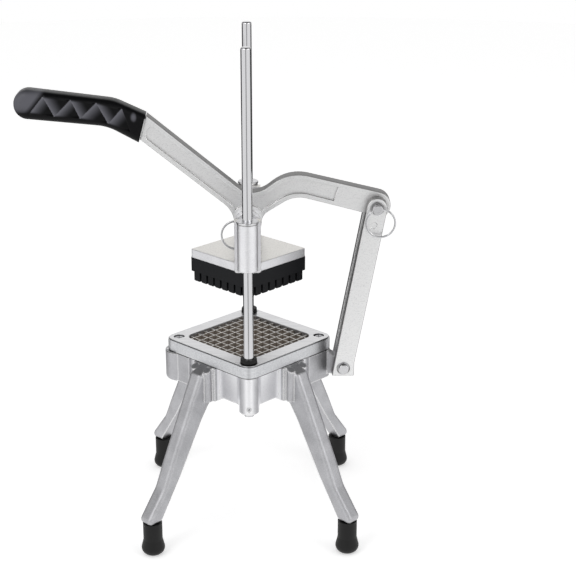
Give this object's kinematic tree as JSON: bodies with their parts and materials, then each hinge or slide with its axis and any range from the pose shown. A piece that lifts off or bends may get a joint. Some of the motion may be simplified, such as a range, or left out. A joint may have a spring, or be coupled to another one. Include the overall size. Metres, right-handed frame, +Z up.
{
  "type": "french fry cutter",
  "caption": "Lever-operated french fry cutter: a finger block slides down guide rods through a square blade grid on a splayed four-legged cast base.",
  "frame": {"origin": "on the floor, under the middle of the blade grid", "axes": "+X towards the link, -X towards the handle, -Y to the front, +Z up"},
  "size_m": [0.3595, 0.2118, 0.49],
  "materials": {
    "cast_aluminium": "sand-cast and tumbled, fine satin grain",
    "machined_aluminium": "machined and brushed",
    "stainless_steel": "ground and polished",
    "blade_steel": "rolled strip with ground edges",
    "bushing_steel": "turned",
    "black_rubber": "moulded, dull",
    "black_plastic": "moulded, fine matt grain",
    "black_vinyl": "dipped vinyl with a soft sheen"
  },
  "bodies": {
    "base": {"base_casting": "cast_aluminium", "front_left_foot": "black_rubber", "front_right_foot": "black_rubber", "rear_left_foot": "black_rubber", "rear_right_foot": "black_rubber", "front_guide_rod": "stainless_steel", "rear_guide_rod": "stainless_steel", "rod_set_screws": "stainless_steel", "rod_end_screws": "stainless_steel", "front_bumper": "black_rubber", "rear_bumper": "black_rubber", "blade_frame": "machined_aluminium", "blade_frame_screws": "stainless_steel", "upper_blades": "blade_steel", "lower_blades": "blade_steel", "upper_blade_pins": "stainless_steel", "lower_blade_pins": "stainless_steel"},
    "pusher": {"pusher_head": "cast_aluminium", "front_bushing": "bushing_steel", "rear_bushing": "bushing_steel", "pusher_block": "black_plastic", "pusher_block_screws": "stainless_steel", "pivot_pin": "stainless_steel"},
    "lever": {"lever": "cast_aluminium", "grip": "black_vinyl", "link_upper_pin": "stainless_steel"},
    "link": {"link": "cast_aluminium", "link_lower_pin": "stainless_steel", "lower_pin_clips": "stainless_steel"},
    "pivot_ring": {"pivot_pull_ring": "stainless_steel"},
    "upper_ring": {"upper_pull_ring": "stainless_steel"}
  },
  "joints": [
    {"name": "press_slide", "type": "slide", "parent": "base", "child": "pusher", "axis": [0, 0, 1], "range_m": [-0.07, 0]},
    {"name": "lever_press", "type": "hinge", "parent": "pusher", "child": "lever", "pos_m": [0, 0, 0.3096], "axis": [0, -1, 0], "range_deg": [0, 37.9]},
    {"name": "link_swing", "type": "hinge", "parent": "lever", "child": "link", "pos_m": [0.1238, 0, 0.3256], "axis": [0, -1, 0], "range_deg": [-25.6, 0]},
    {"name": "pivot_ring_swing", "type": "hinge", "parent": "pusher", "child": "pivot_ring", "pos_m": [0, -0.0226, 0.3096], "axis": [-0.5736, 0, 0.8192], "range_deg": [0, 80]},
    {"name": "upper_ring_swing", "type": "hinge", "parent": "lever", "child": "upper_ring", "pos_m": [0.1238, -0.0215, 0.3256], "axis": [-0.9744, 0, -0.225], "range_deg": [0, 150]}
  ],
  "couplings": [
    {"joint": "press_slide", "follows": "lever_press", "m_per_rad": -0.1058},
    {"joint": "link_swing", "follows": "lever_press", "ratio": -0.67479}
  ]
}
